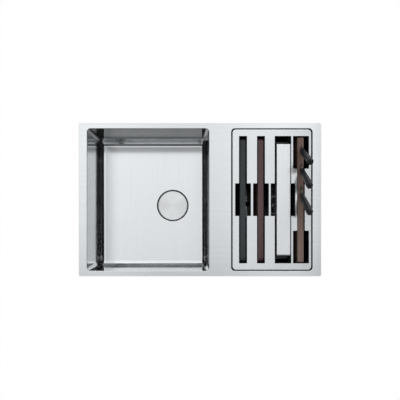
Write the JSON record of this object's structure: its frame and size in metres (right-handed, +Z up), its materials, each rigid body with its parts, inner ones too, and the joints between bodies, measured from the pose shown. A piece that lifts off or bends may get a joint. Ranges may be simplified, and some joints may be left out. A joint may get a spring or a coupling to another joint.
{
  "type": "workstation kitchen sink",
  "caption": "Inset steel kitchen sink with a deep bowl and a compartment whose lift-out rack stores boards, a colander and a knife block under a slotted cover.",
  "frame": {"origin": "plan centre of the deck, on the plane of the worktop that the rim seal rests on", "axes": "+X to the user's right along the worktop, +Y to the back, +Z up out of the worktop"},
  "size_m": [0.81, 0.512, 0.4074],
  "materials": {
    "deck_steel": "fine satin, brushed left to right",
    "bowl_steel": "satin, brushed down the walls and along the floor",
    "box_steel": "satin",
    "cover_steel": "fine satin, brushed front to back",
    "disc_steel": "satin, spun in circles",
    "colander_steel": "bright satin",
    "waste_steel": "bright pressed steel",
    "blade_steel": "fine ground",
    "fixing_steel": "zinc plated, dull",
    "black_plastic": "matte moulded",
    "rack_plastic": "matte moulded",
    "grip_plastic": "matte moulded",
    "handle_plastic": "satin moulded",
    "hose_plastic": "matte, flexible",
    "foam_rubber": "closed-cell foam or soft rubber, matte",
    "pad_rubber": "dull bitumen rubber",
    "charcoal_fibre": "pressed fibre, charcoal, satin",
    "red_brown_wood": "dark red-brown, oiled",
    "block_wood": "brown, oiled"
  },
  "bodies": {
    "sink": {"deck": "deck_steel", "main_bowl": "bowl_steel", "accessory_box": "box_steel", "rim_seal": "foam_rubber", "damping_pads": "pad_rubber", "clip_brackets": "fixing_steel", "clip_claws": "fixing_steel", "clip_screws": "fixing_steel", "waste_flange": "waste_steel", "waste_upper_gasket": "foam_rubber", "waste_lower_gasket": "foam_rubber", "waste_body": "black_plastic", "waste_bolt": "waste_steel", "box_drain_tube": "black_plastic", "box_drain_seal": "foam_rubber", "box_drain_nut": "black_plastic", "box_drain_elbow": "black_plastic", "drain_hose": "hose_plastic", "hose_clamps": "fixing_steel"},
    "strainer": {"basket_strainer": "waste_steel", "basket_seal": "foam_rubber", "basket_knob": "black_plastic"},
    "waste_cover": {"waste_cover_disc": "disc_steel"},
    "rack": {"slotted_cover": "cover_steel", "rack_base": "rack_plastic", "rack_side_frames": "rack_plastic", "rack_end_frames": "rack_plastic", "rack_guides": "rack_plastic", "rack_feet": "foam_rubber"},
    "charcoal_board": {"charcoal_board": "charcoal_fibre"},
    "red_brown_board": {"red_brown_board": "red_brown_wood"},
    "colander": {"colander_tray": "colander_steel", "colander_grips": "grip_plastic"},
    "knife_block": {"knife_block": "block_wood"},
    "rear_knife": {"rear_knife_blade": "blade_steel", "rear_knife_handle": "handle_plastic"},
    "middle_knife": {"middle_knife_blade": "blade_steel", "middle_knife_handle": "handle_plastic"},
    "front_knife": {"front_knife_blade": "blade_steel", "front_knife_handle": "handle_plastic"}
  },
  "joints": [
    {"name": "strainer_lift", "type": "slide", "parent": "sink", "child": "strainer", "axis": [0, 0, 1], "range_m": [0, 0.24]},
    {"name": "waste_cover_lift", "type": "slide", "parent": "strainer", "child": "waste_cover", "axis": [0, 0, 1], "range_m": [0, 0.215]},
    {"name": "rack_lift", "type": "slide", "parent": "sink", "child": "rack", "axis": [0, 0, 1], "range_m": [0, 0.21]},
    {"name": "charcoal_board_lift", "type": "slide", "parent": "rack", "child": "charcoal_board", "axis": [0, 0, 1], "range_m": [0, 0.195]},
    {"name": "red_brown_board_lift", "type": "slide", "parent": "rack", "child": "red_brown_board", "axis": [0, 0, 1], "range_m": [0, 0.195]},
    {"name": "colander_lift", "type": "slide", "parent": "rack", "child": "colander", "axis": [0, 0, 1], "range_m": [0, 0.195]},
    {"name": "knife_block_lift", "type": "slide", "parent": "rack", "child": "knife_block", "axis": [0, 0, 1], "range_m": [0, 0.195]},
    {"name": "rear_knife_draw", "type": "slide", "parent": "knife_block", "child": "rear_knife", "axis": [0, -0.524, 0.8517], "range_m": [0, 0.072]},
    {"name": "middle_knife_draw", "type": "slide", "parent": "knife_block", "child": "middle_knife", "axis": [0, -0.5835, 0.8121], "range_m": [0, 0.144]},
    {"name": "front_knife_draw", "type": "slide", "parent": "knife_block", "child": "front_knife", "axis": [0, -0.5835, 0.8121], "range_m": [0, 0.206]}
  ]
}
